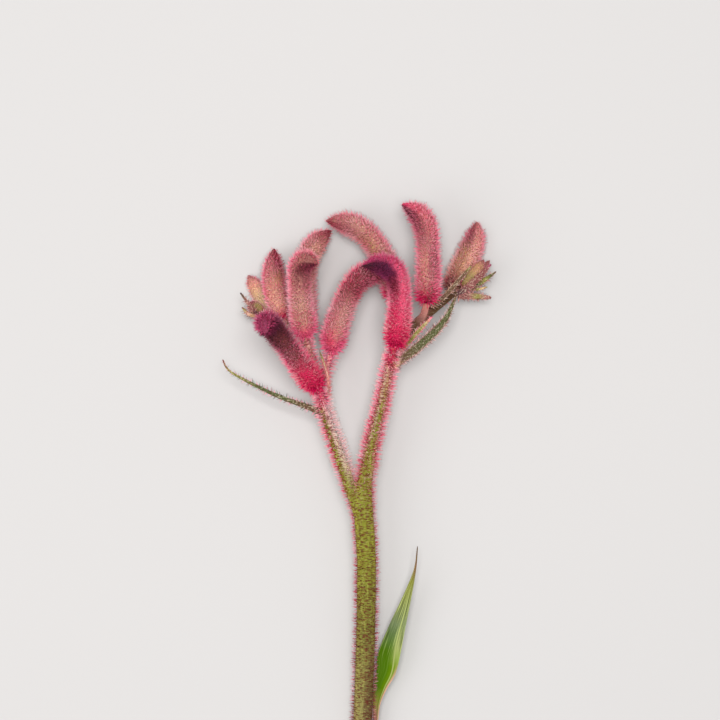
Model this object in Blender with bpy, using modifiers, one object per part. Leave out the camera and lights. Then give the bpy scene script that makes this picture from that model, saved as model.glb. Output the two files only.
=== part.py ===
# Kangaroo paw flower: one cut stem that forks into two paws of tubular flowers, with a folded leaf
# low on the stem and narrow bracts at the forks. It lies on a table at z = 0, and +Y runs up the stem.
# Sizes are in millimetres and angles in degrees. The origin is under the middle of the whole flower.
import math

import bmesh
import bpy
from mathutils import Matrix, Vector

MM = 0.001
JOINT_GAP = 0.3  # between a stalk's end and the flower on it
WELD = 0.01
BLADE_THICKNESS = 0.7  # of the leaf and the bracts
TABLE_SIZE = 400
TABLE_DEPTH = 20

# A route's points are x, y, z and the radius there. The main axis runs on into the right paw.
MAIN_AXIS = [
    (-0.4, -118.0, 3.2, 3.6),
    (0.4, -96.0, 4.3, 3.6),
    (1.2, -75.0, 5.8, 3.6),
    (2.1, -50.0, 8.0, 3.7),
    (2.5, -20.0, 10.6, 3.7),
    (1.6, -4.0, 11.8, 3.8),
    (1.3, 4.0, 12.3, 3.5),
    (2.0, 12.5, 12.8, 2.8),
    (4.8, 27.5, 13.8, 2.4),
    (7.9, 39.5, 14.9, 2.1),
    (10.4, 51.3, 15.8, 1.9),
    (11.9, 57.5, 16.0, 1.9),
    (15.8, 64.8, 15.6, 1.9),
    (20.6, 71.0, 14.8, 1.9),
    (26.8, 76.2, 13.4, 1.8),
    (33.0, 81.2, 11.6, 1.6),
    (38.6, 85.0, 10.2, 1.1),
]
LEFT_AXIS = [
    (1.0, -5.0, 11.8, 2.4),
    (-1.2, 3.0, 12.2, 2.6),
    (-3.8, 9.5, 12.4, 2.4),
    (-8.4, 23.6, 13.0, 2.1),
    (-13.8, 39.5, 14.2, 1.9),
    (-15.0, 48.0, 14.2, 1.9),
    (-19.6, 57.0, 12.8, 1.8),
    (-25.6, 64.6, 11.0, 1.7),
    (-32.0, 71.0, 9.0, 1.5),
    (-37.6, 75.0, 7.6, 1.0),
]
AXIS_STEPS = 2  # pieces of a route between two of its points
MAIN_BEVEL = 4  # gives a tube of 12 sides, where 3 gives 10 and 2 gives 8
LEFT_BEVEL = 3
STALK_BEVEL = 2
STALK_RADIUS = 1.45
STALK_STEPS = 6
STALK_ARRIVAL = 0.45  # share of a stalk that already points the way its flower does

# Share of a flower's girth at shares of its length: a round swollen foot, a waist, a hood and a beak.
FLOWER_PROFILE = [
    (0.00, 0.42),
    (0.04, 0.78),
    (0.09, 0.98),
    (0.16, 1.05),
    (0.30, 1.00),
    (0.46, 0.91),
    (0.62, 0.93),
    (0.76, 1.00),
    (0.86, 0.90),
    (0.94, 0.62),
    (1.00, 0.30),
]
LOBES = 6
LOBE_DEPTH = 0.14  # of the groove between two lobes at the beak, as a share of the radius
FOOT_LOBE_DEPTH = 0.03
AROUND = 12
RINGS = 16
ARCH_END = 0.75  # share of the length where the gentle curve of the tube ends
HOOK_SPREAD = 0.44  # share of the length over which the hood bends over


def flower(foot, heading, lift, length, girth, side, arch, hook, knee, stalk):
    """One flower, where side is the way it bends: 0 to its left, 90 to the front, 180 to its right."""
    return {
        "foot": foot,
        "heading": heading,
        "lift": lift,
        "length": length,
        "girth": girth,
        "side": side,
        "arch": arch,
        "hook": hook,
        "knee": knee,
        "stalk": stalk,
    }


FLOWERS = {
    "flower_left_low": flower(
        (-16.2, 47.0, 19.8), 124, 16, 45, 4.05, 78, 14, 102, 0.80, (-14.2, 41.0, 14.6)
    ),
    "flower_left_inner": flower(
        (-11.0, 61.2, 15.6), 81, 2, 44, 4.2, 180, 24, 62, 0.74, (-14.8, 50.0, 14.0)
    ),
    "flower_left_front": flower(
        (-20.6, 66.6, 18.0), 100, 8, 37, 4.1, 132, 14, 104, 0.80, (-16.6, 52.0, 13.8)
    ),
    "flower_left_back": flower(
        (-21.2, 69.4, 8.4), 92, -2, 39, 4.0, 180, 8, 46, 0.74, (-22.0, 60.0, 12.0)
    ),
    "flower_right_low": flower(
        (13.0, 63.2, 20.4), 76, 12, 42, 4.0, 8, 26, 90, 0.76, (11.4, 55.0, 16.0)
    ),
    "flower_right_back": flower(
        (13.7, 80.2, 10.0), 95, -2, 45.0, 4.2, 0, 43, 38, 0.76, (18.0, 69.0, 15.2)
    ),
    "flower_right_upright": flower(
        (25.2, 79.6, 17.4), 84, -2, 41.5, 4.15, 0, 13, 62, 0.80, (22.4, 72.6, 14.4)
    ),
}
BUDS = {
    "bud_right": flower(
        (34.9, 84.4, 4.3), 62, -4, 28.4, 3.4, 0, 4, 18, 0.75, (31.6, 80.0, 12.0)
    ),
    "bud_left_large": flower(
        (-29.3, 73.8, 8.0), 112, -3, 26, 3.4, 180, 20, 4, 0.60, (-27.6, 66.6, 10.4)
    ),
    "bud_left_small": flower(
        (-35.0, 76.2, 2.9), 117, -6, 16.2, 1.9, 0, 0, 6, 0.60, (-33.4, 72.0, 8.4)
    ),
}
RESTING = ("stem", "bud_right", "bud_left_small")  # each has a low point on the table

# A blade's points are x, y, z and its width there. Its halves rise from the midrib by the fold.
BLADES = {
    "leaf_low": {
        "route": [
            (6.2, -86.0, 4.8, 1.8),
            (6.4, -79.8, 4.6, 2.6),
            (6.9, -73.7, 4.2, 4.2),
            (8.6, -67.6, 3.8, 7.4),
            (11.0, -61.9, 3.6, 10.4),
            (12.4, -55.4, 3.8, 11.8),
            (15.2, -44.8, 5.0, 8.8),
            (17.6, -36.4, 6.4, 5.8),
            (20.2, -26.6, 8.0, 2.4),
            (21.4, -20.6, 8.8, 1.0),
            (22.0, -13.6, 9.4, 0.7),
        ],
        "fold": 35,
        "roll": -25,
    },
    "bract_left_long": {
        "route": [
            (-16.2, 38.6, 14.8, 1.8),
            (-22.4, 40.9, 15.0, 1.6),
            (-30.2, 43.7, 15.0, 1.4),
            (-38.4, 47.4, 14.4, 1.2),
            (-47.0, 51.9, 13.4, 0.9),
            (-50.6, 54.6, 13.0, 0.8),
            (-52.2, 57.8, 13.2, 0.7),
        ],
        "fold": 20,
        "roll": 0,
    },
    "bract_left_small": {
        "route": [
            (-12.0, 46.0, 17.0, 1.2),
            (-12.2, 51.0, 17.6, 1.5),
            (-13.4, 56.0, 18.0, 1.3),
            (-15.2, 60.8, 18.4, 0.7),
        ],
        "fold": 15,
        "roll": 0,
    },
    "bract_right_long": {
        "route": [
            (14.9, 57.4, 18.2, 2.2),
            (20.7, 62.0, 18.6, 3.3),
            (27.3, 67.9, 18.0, 3.0),
            (32.2, 73.5, 17.0, 2.1),
            (35.2, 79.4, 15.6, 1.2),
            (36.6, 82.4, 15.0, 0.7),
        ],
        "fold": 20,
        "roll": 0,
    },
    "bract_right_over": {
        "route": [
            (26.8, 77.6, 16.6, 1.0),
            (31.6, 81.4, 16.0, 1.9),
            (36.2, 86.6, 14.8, 1.8),
            (40.4, 91.4, 13.4, 1.2),
            (42.2, 93.4, 12.8, 0.7),
        ],
        "fold": 20,
        "roll": 0,
    },
    "bract_right_under": {
        "route": [
            (16.4, 61.6, 16.8, 1.2),
            (20.6, 66.2, 16.6, 2.0),
            (25.2, 70.6, 15.8, 1.8),
            (28.6, 74.0, 15.0, 0.8),
        ],
        "fold": 20,
        "roll": 0,
    },
}
BLADE_STEPS = 3
BLADE_LANES = 4

YOUNG_BEND = 4  # arch and hook of the youngest buds
YOUNG_KNEE = 0.6
YOUNG_AROUND = 8
YOUNG_RINGS = 10
YOUNG_FOLD = 15

# At each paw's growing end, the youngest buds with the small bracts that wrap them. A bud here is
# its foot, heading, lift, length and girth.
SPRAYS = {
    "growing_tip_left": {
        "buds": [((-38.0, 75.8, 7.0), 149, 0, 7.6, 1.7)],
        "bracts": [
            [(-39.2, 76.4, 7.4, 1.2), (-42.2, 79.4, 8.6, 1.5), (-45.6, 83.3, 9.4, 0.7)],
            [(-39.2, 76.2, 6.8, 1.2), (-42.2, 76.0, 7.2, 1.3), (-45.0, 77.4, 7.8, 0.7)],
        ],
    },
    "growing_tip_right": {
        "buds": [
            ((39.4, 85.6, 10.2), 49, 0, 13.0, 1.7),
            ((40.2, 85.4, 8.6), 44, -4, 14.0, 1.5),
        ],
        "bracts": [
            [(40.4, 86.2, 9.8, 1.4), (46.0, 88.8, 9.6, 1.9), (51.8, 91.4, 9.2, 0.7)],
            [(40.4, 86.0, 9.2, 1.4), (44.0, 82.8, 8.8, 1.9), (49.8, 82.0, 8.4, 0.7)],
            [(40.4, 86.0, 9.6, 1.4), (44.4, 84.8, 10.4, 1.7), (48.4, 85.6, 10.8, 0.7)],
        ],
    },
}


def smooth_curve(points, steps):
    """Points on a smooth curve through the given ones, with so many steps between each two."""
    points = [Vector(point) for point in points]
    ends = [2 * points[0] - points[1], *points, 2 * points[-1] - points[-2]]
    found = []
    for a, b, c, d in zip(ends, ends[1:], ends[2:], ends[3:]):
        for step in range(steps):
            t = step / steps
            line = 2 * b + (c - a) * t
            square = (2 * a - 5 * b + 4 * c - d) * t**2
            cube = (3 * b - a - 3 * c + d) * t**3
            found.append((line + square + cube) / 2)
    return [*found, points[-1]]


def smooth_step(t):
    t = min(max(t, 0), 1)
    return t * t * (3 - 2 * t)


def profile_at(profile, t):
    """The value of a list of (share, value) points at a share t."""
    for (start, low), (end, high) in zip(profile, profile[1:]):
        if t <= end:
            return low + (high - low) * (t - start) / (end - start)
    return profile[-1][1]


def make_material(name, colour, roughness):
    material = bpy.data.materials.new(name)
    material.use_nodes = True
    shader = material.node_tree.nodes["Principled BSDF"]
    shader.inputs["Base Color"].default_value = (*colour, 1)
    shader.inputs["Roughness"].default_value = roughness
    shader.inputs["Metallic"].default_value = 0
    return material


def place(obj, collection, material=None):
    """Puts an object in its collection, smooth shaded, with its material."""
    collection.objects.link(obj)
    if material:
        obj.data.materials.clear()
        obj.data.materials.append(material)
    if obj.type == "MESH":
        obj.data.shade_smooth()
    return obj


def mesh_object(name, bm):
    mesh = bpy.data.meshes.new(name)
    bm.to_mesh(mesh)
    bm.free()
    return bpy.data.objects.new(name, mesh)


def welded_mesh(obj, collection):
    """A mesh object with the shape of a curve or of a mesh with modifiers, which it replaces."""
    bpy.context.view_layer.update()
    evaluated = obj.evaluated_get(bpy.context.evaluated_depsgraph_get())
    mesh = bpy.data.meshes.new_from_object(evaluated)
    bm = bmesh.new()
    bm.from_mesh(mesh)
    bmesh.ops.remove_doubles(bm, verts=bm.verts, dist=WELD * MM)
    bm.to_mesh(mesh)
    bm.free()
    name = obj.name
    world = obj.matrix_world.copy()
    bpy.data.objects.remove(obj)
    made = bpy.data.objects.new(name, mesh)
    made.matrix_world = world
    return place(made, collection)


def tube(name, route, collection, resolution):
    """A capped tube along a route of x, y, z and radius."""
    curve = bpy.data.curves.new(name, "CURVE")
    curve.dimensions = "3D"
    curve.bevel_depth = MM
    curve.bevel_resolution = resolution
    curve.use_fill_caps = True
    spline = curve.splines.new("POLY")
    spline.points.add(len(route) - 1)
    for point, (x, y, z, radius) in zip(spline.points, route):
        point.co = (x * MM, y * MM, z * MM, 1)
        point.radius = radius
    obj = bpy.data.objects.new(name, curve)
    collection.objects.link(obj)
    return welded_mesh(obj, collection)


def growth_axes(spec):
    """The way a flower grows from its foot, the way it bends, and the normal of that plane."""
    heading, lift, side = (math.radians(spec[key]) for key in ("heading", "lift", "side"))
    flat = math.cos(lift)
    along = Vector((math.cos(heading) * flat, math.sin(heading) * flat, math.sin(lift)))
    left = Vector((-math.sin(heading), math.cos(heading), 0))
    bend = left * math.cos(side) + along.cross(left) * math.sin(side)
    return along, bend, along.cross(bend)


def centre_line(spec, rings):
    """The share of the length, the middle and the direction at each ring, in the flower's plane."""
    line = []
    middle = Vector((0, 0, 0))
    before = 0
    for ring in range(rings + 1):
        even = ring / rings
        share = (even + (1 - math.cos(math.pi * even)) / 2) / 2
        bow = min(share / ARCH_END, 1)
        hood = smooth_step((share - spec["knee"]) / HOOK_SPREAD + 0.5)
        turned = math.radians(spec["arch"] * bow + spec["hook"] * hood)
        direction = Vector((math.cos(turned), math.sin(turned), 0))
        if line:
            middle = middle + (line[-1][2] + direction) / 2 * (share - before) * spec["length"]
        line.append((share, middle, direction))
        before = share
    return line


def flower_object(name, spec, around=AROUND, rings=RINGS):
    """A closed six-lobed tube that hooks over at its end, grown from a sphere, from its foot."""
    line = centre_line(spec, rings)
    bm = bmesh.new()
    bmesh.ops.create_uvsphere(bm, u_segments=around, v_segments=rings, radius=1)
    for vert in bm.verts:
        ring = round(math.acos(max(-1, min(1, -vert.co.z))) * rings / math.pi)
        share, middle, direction = line[ring]
        angle = math.atan2(vert.co.y, vert.co.x)
        groove = FOOT_LOBE_DEPTH + (LOBE_DEPTH - FOOT_LOBE_DEPTH) * share
        radius = spec["girth"] * profile_at(FLOWER_PROFILE, share)
        radius *= 1 - groove * (1 + math.cos(LOBES * angle)) / 2
        if ring in (0, rings):
            radius = 0
        across = Vector((-direction.y, direction.x, 0))
        offset = across * math.cos(angle) + Vector((0, 0, math.sin(angle)))
        vert.co = (middle + offset * radius) * MM
    obj = mesh_object(name, bm)
    axes = Matrix(growth_axes(spec)).transposed().to_4x4()
    obj.matrix_world = Matrix.Translation(Vector(spec["foot"]) * MM) @ axes
    return obj


def stalk_route(spec):
    """From inside the axis to just under the flower's foot, which it meets head on."""
    along = growth_axes(spec)[0]
    start = Vector(spec["stalk"])
    end = Vector(spec["foot"]) - along * JOINT_GAP
    reach = (end - start).length
    last = end - along * reach * STALK_ARRIVAL
    first = start.lerp(last, 0.5)
    route = []
    for step in range(STALK_STEPS + 1):
        t = step / STALK_STEPS
        point = start * (1 - t) ** 3 + first * 3 * t * (1 - t) ** 2
        point += last * 3 * t * t * (1 - t) + end * t**3
        route.append((*point, STALK_RADIUS))
    return route


def blade_object(name, route, fold, roll):
    """A narrow folded blade along a route of x, y, z and width, as an open sheet made solid."""
    points = smooth_curve(route, BLADE_STEPS)
    last = len(points) - 1
    bm = bmesh.new()
    bmesh.ops.create_grid(bm, x_segments=BLADE_LANES, y_segments=last, size=1)
    for vert in bm.verts:
        row = round((vert.co.y + 1) / 2 * last)
        lane = vert.co.x
        ahead = (points[min(row + 1, last)] - points[max(row - 1, 0)]).to_3d().normalized()
        across = ahead.cross(Vector((0, 0, 1))).normalized()
        front = across.cross(ahead)
        turned = Matrix.Rotation(math.radians(roll), 3, ahead)
        rise = math.radians(fold)
        reach = points[row].w / 2 * math.cos(rise)
        offset = across * lane * reach + front * abs(lane) * reach * math.tan(rise)
        vert.co = (points[row].to_3d() + turned @ offset) * MM
    bmesh.ops.triangulate(bm, faces=bm.faces)
    obj = mesh_object(name, bm)
    wall = obj.modifiers.new("thickness", "SOLIDIFY")
    wall.thickness = BLADE_THICKNESS * MM
    wall.offset = 0
    return obj


def join_all(name, pieces, collection):
    """One closed body from overlapping pieces, by a Boolean union."""
    rest = bpy.data.collections.new(name + "_pieces")
    bpy.context.scene.collection.children.link(rest)
    for piece in pieces[1:]:
        collection.objects.unlink(piece)
        rest.objects.link(piece)
    union = pieces[0].modifiers.new("union", "BOOLEAN")
    union.operation = "UNION"
    union.operand_type = "COLLECTION"
    union.collection = rest
    union.solver = "EXACT"
    pieces[0].name = name
    joined = welded_mesh(pieces[0], collection)
    for piece in list(rest.objects):
        bpy.data.objects.remove(piece)
    bpy.data.collections.remove(rest)
    return joined


def make_stem(collection, material):
    """The whole axis with its two branches and the stalks of all flowers, which grew as one piece."""
    pieces = [
        tube("main_axis", smooth_curve(MAIN_AXIS, AXIS_STEPS), collection, MAIN_BEVEL),
        tube("left_axis", smooth_curve(LEFT_AXIS, AXIS_STEPS), collection, LEFT_BEVEL),
    ]
    for name, spec in [*FLOWERS.items(), *BUDS.items()]:
        pieces.append(tube(name + "_stalk", stalk_route(spec), collection, STALK_BEVEL))
    stem = join_all("stem", pieces, collection)
    stem.data.materials.append(material)
    return stem


def make_spray(name, spray, collection, material):
    """Small buds and bracts that spring from one point, joined in one body."""
    pieces = []
    for foot, heading, lift, length, girth in spray["buds"]:
        bend = (0, YOUNG_BEND, YOUNG_BEND, YOUNG_KNEE)
        spec = flower(foot, heading, lift, length, girth, *bend, foot)
        bud = flower_object(name + "_bud", spec, YOUNG_AROUND, YOUNG_RINGS)
        pieces.append(place(bud, collection))
    for route in spray["bracts"]:
        blade = place(blade_object(name + "_bract", route, YOUNG_FOLD, 0), collection)
        pieces.append(welded_mesh(blade, collection))
    joined = join_all(name, pieces, collection)
    joined.data.materials.append(material)


def rest_on_table(collection):
    """Flattens each low point where the flower lies on the table."""
    bm = bmesh.new()
    bmesh.ops.create_cube(bm, size=1)
    bmesh.ops.scale(bm, vec=Vector((TABLE_SIZE, TABLE_SIZE, TABLE_DEPTH)) * MM, verts=bm.verts)
    bmesh.ops.translate(bm, vec=Vector((0, 0, -TABLE_DEPTH / 2)) * MM, verts=bm.verts)
    table = place(mesh_object("table_cutter", bm), collection)
    table.hide_render = True
    table.display_type = "WIRE"
    for name in RESTING:
        cut = bpy.data.objects[name].modifiers.new("flat_spot", "BOOLEAN")
        cut.operation = "DIFFERENCE"
        cut.object = table
        cut.solver = "EXACT"


def clear_scene():
    for obj in list(bpy.data.objects):
        bpy.data.objects.remove(obj)


def main():
    clear_scene()
    parts = bpy.data.collections.new("kangaroo_paw_flower")
    cutters = bpy.data.collections.new("cutters")
    bpy.context.scene.collection.children.link(parts)
    bpy.context.scene.collection.children.link(cutters)

    stem_green = make_material("hairy_olive_stem", (0.30, 0.27, 0.09), 0.8)
    petal_pink = make_material("woolly_pink_petal", (0.55, 0.14, 0.17), 0.9)
    bud_tan = make_material("woolly_tan_bud", (0.55, 0.33, 0.22), 0.9)
    leaf_green = make_material("leaf_green", (0.16, 0.30, 0.05), 0.5)
    bract_olive = make_material("bract_olive", (0.28, 0.25, 0.09), 0.7)

    make_stem(parts, stem_green)
    for name, spec in FLOWERS.items():
        place(flower_object(name, spec), parts, petal_pink)
    for name, spec in BUDS.items():
        place(flower_object(name, spec), parts, bud_tan)
    for name, blade in BLADES.items():
        leaf = leaf_green if name == "leaf_low" else bract_olive
        place(blade_object(name, **blade), parts, leaf)
    for name, spray in SPRAYS.items():
        make_spray(name, spray, parts, bract_olive)
    rest_on_table(cutters)


main()
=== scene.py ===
import math
import bpy
import numpy as np
from mathutils import Matrix, Vector


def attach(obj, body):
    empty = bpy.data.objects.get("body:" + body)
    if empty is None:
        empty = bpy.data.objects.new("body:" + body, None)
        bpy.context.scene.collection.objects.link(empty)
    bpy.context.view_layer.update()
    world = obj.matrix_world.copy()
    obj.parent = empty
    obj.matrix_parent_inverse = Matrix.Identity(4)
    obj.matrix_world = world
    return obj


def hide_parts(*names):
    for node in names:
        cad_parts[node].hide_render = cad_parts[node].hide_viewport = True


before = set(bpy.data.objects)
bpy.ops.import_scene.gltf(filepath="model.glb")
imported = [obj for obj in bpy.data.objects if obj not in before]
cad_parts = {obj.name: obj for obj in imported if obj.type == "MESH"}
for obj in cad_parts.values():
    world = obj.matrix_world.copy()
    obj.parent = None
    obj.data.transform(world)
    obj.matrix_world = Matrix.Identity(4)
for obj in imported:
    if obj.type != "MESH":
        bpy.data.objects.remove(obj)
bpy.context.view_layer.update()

# A cut kangaroo paw flower lies on a pale table and is seen from straight above.
# Places and sizes are in millimetres, as in the model, and mm turns them into metres.
mm = 0.001

# The plant's colours as they look in daylight, 0 to 255.
paints = {
    "crimson": (208, 8, 82),
    "cherry": (224, 50, 100),
    "rose": (252, 104, 142),
    "pink": (255, 152, 170),
    "shell": (255, 208, 202),
    "blush": (234, 160, 156),
    "salmon": (208, 130, 120),
    "cream": (232, 182, 150),
    "straw": (228, 196, 146),
    "tan": (188, 130, 120),
    "fawn": (204, 158, 134),
    "khaki": (190, 150, 104),
    "brown": (146, 94, 88),
    "umber": (120, 62, 60),
    "wine": (116, 24, 40),
    "rust": (92, 32, 24),
    "plum": (146, 66, 96),
    "orchid": (200, 52, 112),
    "damson": (92, 36, 70),
    "soot": (68, 26, 38),
    "night": (42, 22, 34),
    "bark": (86, 60, 38),
    "husk": (156, 146, 84),
    "moss": (126, 124, 50),
    "grove": (62, 74, 28),
    "olive": (144, 146, 46),
    "lime": (168, 172, 78),
    "leafGreen": (66, 100, 0),
    "leafDull": (136, 150, 104),
    "leafGrey": (98, 112, 78),
    "leafBright": (112, 146, 10),
    "leafPale": (180, 190, 116),
    "parchment": (226, 206, 178),
}


def daylight(name, lift=1.0):
    linear = []
    for part in paints[name]:
        part /= 255
        part = part / 12.92 if part < 0.04 else ((part + 0.055) / 1.055) ** 2.4
        linear.append(min(part * lift, 0.95))
    return (*linear, 1)


def newFinish(name, roughness, gloss=0.12):
    finish = bpy.data.materials.new(name)
    finish.use_nodes = True
    shader = finish.node_tree.nodes["Principled BSDF"]
    shader.inputs["Roughness"].default_value = roughness
    shader.inputs["Specular IOR Level"].default_value = gloss
    return finish, finish.node_tree


def put(tree, kind, inputs, **settings):
    node = tree.nodes.new("ShaderNode" + kind)
    for key, value in settings.items():
        setattr(node, key, value)
    for key, value in inputs.items():
        if isinstance(value, bpy.types.NodeSocket):
            tree.links.new(value, node.inputs[key])
        else:
            node.inputs[key].default_value = value
    return node


def painted(finish, colour):
    tree = finish.node_tree
    tree.links.new(colour, tree.nodes["Principled BSDF"].inputs["Base Color"])
    return finish


def objectPlace(tree, stretch=None):
    place = put(tree, "TexCoord", {}).outputs["Object"]
    return put(tree, "Mapping", {0: place, 3: stretch}).outputs[0] if stretch else place


def readMark(tree, name, part="Fac"):
    return put(tree, "Attribute", {}, attribute_name=name).outputs[part]


def readMarks(tree, names):
    return [readMark(tree, name) for name in names.split()]


def sums(tree, way, first, second):
    return put(tree, "Math", {0: first, 1: second}, operation=way).outputs[0]


def plus(tree, first, second):
    return sums(tree, "ADD", first, second)


def times(tree, first, second):
    return sums(tree, "MULTIPLY", first, second)


def away(tree, value, middle):
    return sums(tree, "ABSOLUTE", sums(tree, "SUBTRACT", value, middle), 0)


def between(tree, value, low, high, start=0.0, end=1.0):
    inputs = {"Value": value, "From Min": low, "From Max": high, "To Min": start, "To Max": end}
    return put(tree, "MapRange", inputs, interpolation_type="SMOOTHSTEP").outputs[0]


def blend(tree, share, first, second, way="MIX"):
    node = put(tree, "Mix", {0: share, 6: first, 7: second}, data_type="RGBA", blend_type=way)
    return node.outputs[2]


def wash(tree, colour, paint, value, low, high, strength=1.0, within=None, lift=1.0):
    # lays a paint over the colour, from nothing where the value is low to its strength where it is high
    share = between(tree, value, low, high, 0, strength)
    if within:
        share = times(tree, share, within)
    return blend(tree, share, colour, daylight(paint, lift))


def noise(tree, scale, detail=2.0, along=None):
    where = along or objectPlace(tree)
    return put(tree, "TexNoise", {"Vector": where, "Scale": scale, "Detail": detail}).outputs["Fac"]


def colourRun(tree, share, places, names, lift=1.0):
    names = names.split()
    ramp = put(tree, "ValToRGB", {"Fac": share})
    points = ramp.color_ramp.elements
    while len(points) < len(names):
        points.new(0.5)
    for point, place, paint in zip(points, places, names):
        point.position = place
        point.color = daylight(paint, lift)
    return ramp.outputs["Color"]


def bumpFrom(tree, height, depth):
    node = put(tree, "Bump", {"Height": height, "Distance": depth, "Strength": 0.6})
    tree.links.new(node.outputs["Normal"], tree.nodes["Principled BSDF"].inputs["Normal"])


def deselectAll():
    if bpy.context.object and bpy.context.object.mode != "OBJECT":
        bpy.ops.object.mode_set(mode="OBJECT")
    bpy.ops.object.select_all(action="DESELECT")


def workOn(piece):
    deselectAll()
    piece.select_set(True)
    bpy.context.view_layer.objects.active = piece


def addPiece(name, data):
    piece = bpy.data.objects.new(name, data)
    bpy.context.scene.collection.objects.link(piece)
    return piece


def applyModifier(piece, kind, **settings):
    workOn(piece)
    step = piece.modifiers.new(kind.lower(), kind)
    for key, value in settings.items():
        setattr(step, key, value)
    bpy.ops.object.modifier_apply(modifier=step.name)


def editAll():
    bpy.ops.object.mode_set(mode="EDIT")
    bpy.ops.mesh.select_all(action="SELECT")


def leaveEdit():
    bpy.ops.object.mode_set(mode="OBJECT")


def startSection(name, sides, radius):
    # a flat polygon across +X, from which a tube or a blade is drawn out
    deselectAll()
    bpy.ops.mesh.primitive_circle_add(
        vertices=sides, radius=radius * mm, fill_type="NGON", rotation=(0, math.pi / 2, 0)
    )
    bpy.ops.object.transform_apply(location=False, rotation=True, scale=False)
    bpy.context.object.name = name
    return bpy.context.object


def drawOut(step):
    bpy.ops.mesh.extrude_region_move(TRANSFORM_OT_translate={"value": step})


def resize(scale, middle=(0, 0, 0)):
    bpy.ops.transform.resize(value=scale, center_override=middle)


def closeTip():
    # what was drawn out last shrinks to a point, and all faces turn outwards
    bpy.ops.mesh.merge(type="COLLAPSE")
    bpy.ops.mesh.select_all(action="SELECT")
    bpy.ops.mesh.normals_make_consistent(inside=False)


def numbers(items, name, width=1, kind=np.float64):
    found = np.empty(len(items) * width, kind)
    items.foreach_get(name, found)
    return found.reshape(-1, width) if width > 1 else found


def placesOf(piece):
    return numbers(piece.data.vertices, "co", 3)


def setMarks(piece, **marks):
    for name, values in marks.items():
        values = np.asarray(values, np.float32)
        kind, field = ("FLOAT_VECTOR", "vector") if values.ndim > 1 else ("FLOAT", "value")
        mark = piece.data.attributes.new(name, kind, "POINT")
        mark.data.foreach_set(field, values.ravel())


def getMark(piece, name):
    mark = piece.data.attributes[name]
    if mark.data_type == "FLOAT_VECTOR":
        return numbers(mark.data, "vector", 3)
    return numbers(mark.data, "value")


def finishPiece(piece, material, slot, *nodes):
    workOn(piece)
    bpy.ops.object.shade_smooth()
    piece.data.materials.clear()
    piece.data.materials.append(material)
    if nodes:
        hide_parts(*nodes)
    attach(piece, "root")
    return piece


def smoothStep(value):
    value = np.clip(value, 0, 1)
    return value * value * (3 - 2 * value)


def unit(vectors, least=0):
    return vectors / (np.linalg.norm(vectors, axis=1, keepdims=True) + least)


def readRun(at, places, values):
    return np.stack([np.interp(at, places, column) for column in values.T], 1)


def smoothRoute(points, steps):
    points = np.array(points, float)
    ends = np.vstack([2 * points[0] - points[1], points, 2 * points[-1] - points[-2]])
    route = []
    for a, b, c, d in zip(ends, ends[1:], ends[2:], ends[3:]):
        for t in np.arange(steps) / steps:
            bend = (2 * a - 5 * b + 4 * c - d) * t**2 + (3 * b - a - 3 * c + d) * t**3
            route.append((2 * b + (c - a) * t + bend) / 2)
    return np.array([*route, points[-1]])


def bendAlong(piece, route):
    # The piece lies along +X from the origin and takes the shape of the route, with its top kept up.
    line = bpy.data.curves.new("bendLine", "CURVE")
    line.dimensions = "3D"
    line.twist_mode = "Z_UP"
    spline = line.splines.new("POLY")
    spline.points.add(len(route) - 1)
    for point, place in zip(spline.points, route):
        point.co = (*(np.array(place[:3]) * mm), 1)
    guide = addPiece("bendLine", line)
    applyModifier(piece, "CURVE", object=guide, deform_axis="POS_X")
    bpy.data.objects.remove(guide)


# Camera, table and light.
view = {
    "height": 1100,  # of the lens over the table
    "middle": 57.8,  # the point of the stem under the lens
    "sharp": 15,  # height above the table of the plane that the frame is set by
    "width": 273.6,  # of what the frame takes in on that plane
    "sensor": 36,
}


def placeCamera():
    deselectAll()
    bpy.ops.object.camera_add(location=(0, view["middle"] * mm, view["height"] * mm), rotation=(0, 0, 0))
    camera = bpy.context.object
    camera.data.sensor_width = view["sensor"]
    camera.data.lens = view["sensor"] * (view["height"] - view["sharp"]) / view["width"]
    camera.data.clip_start = 0.01
    bpy.context.scene.camera = camera


table = {"size": 4000, "colour": (0.52, 0.505, 0.497), "cloud": (0.47, 0.47, 0.47, 1)}


def layTable():
    deselectAll()
    bpy.ops.mesh.primitive_grid_add(x_subdivisions=8, y_subdivisions=8, size=table["size"] * mm)
    floor = bpy.context.object
    floor.name = "table_top"
    finish, tree = newFinish("pale_table", 0.9, 0.1)
    base = (*table["colour"], 1)
    cloudy = between(tree, noise(tree, 3), 0.3, 0.7, 0.0, 0.06)
    floor.data.materials.append(painted(finish, blend(tree, cloudy, base, table["cloud"])))


lamps = [
    # name, place, width, watts
    ("soft_box", (30, 180, 1500), 700, 21.6),
    ("fill_card", (-1100, -300, 1100), 1200, 7.7),
]
skyLight = 0.51


def lightStudio():
    for name, place, width, watts in lamps:
        deselectAll()
        bpy.ops.object.light_add(type="AREA", location=Vector(place) * mm)
        lamp = bpy.context.object
        lamp.name = name
        lamp.data.size = width * mm
        lamp.data.energy = watts
        lamp.rotation_euler = (Vector((0, 60, 0)) - Vector(place)).to_track_quat("-Z", "Y").to_euler()
    sky = bpy.data.worlds.new("soft_sky")
    sky.use_nodes = True
    glow = sky.node_tree.nodes["Background"].inputs
    glow["Color"].default_value = (1, 1, 1, 1)
    glow["Strength"].default_value = skyLight
    bpy.context.scene.world = sky
    bpy.context.scene.view_settings.view_transform = "Standard"


placeCamera()
layTable()
lightStudio()
print("studio ready")

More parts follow.
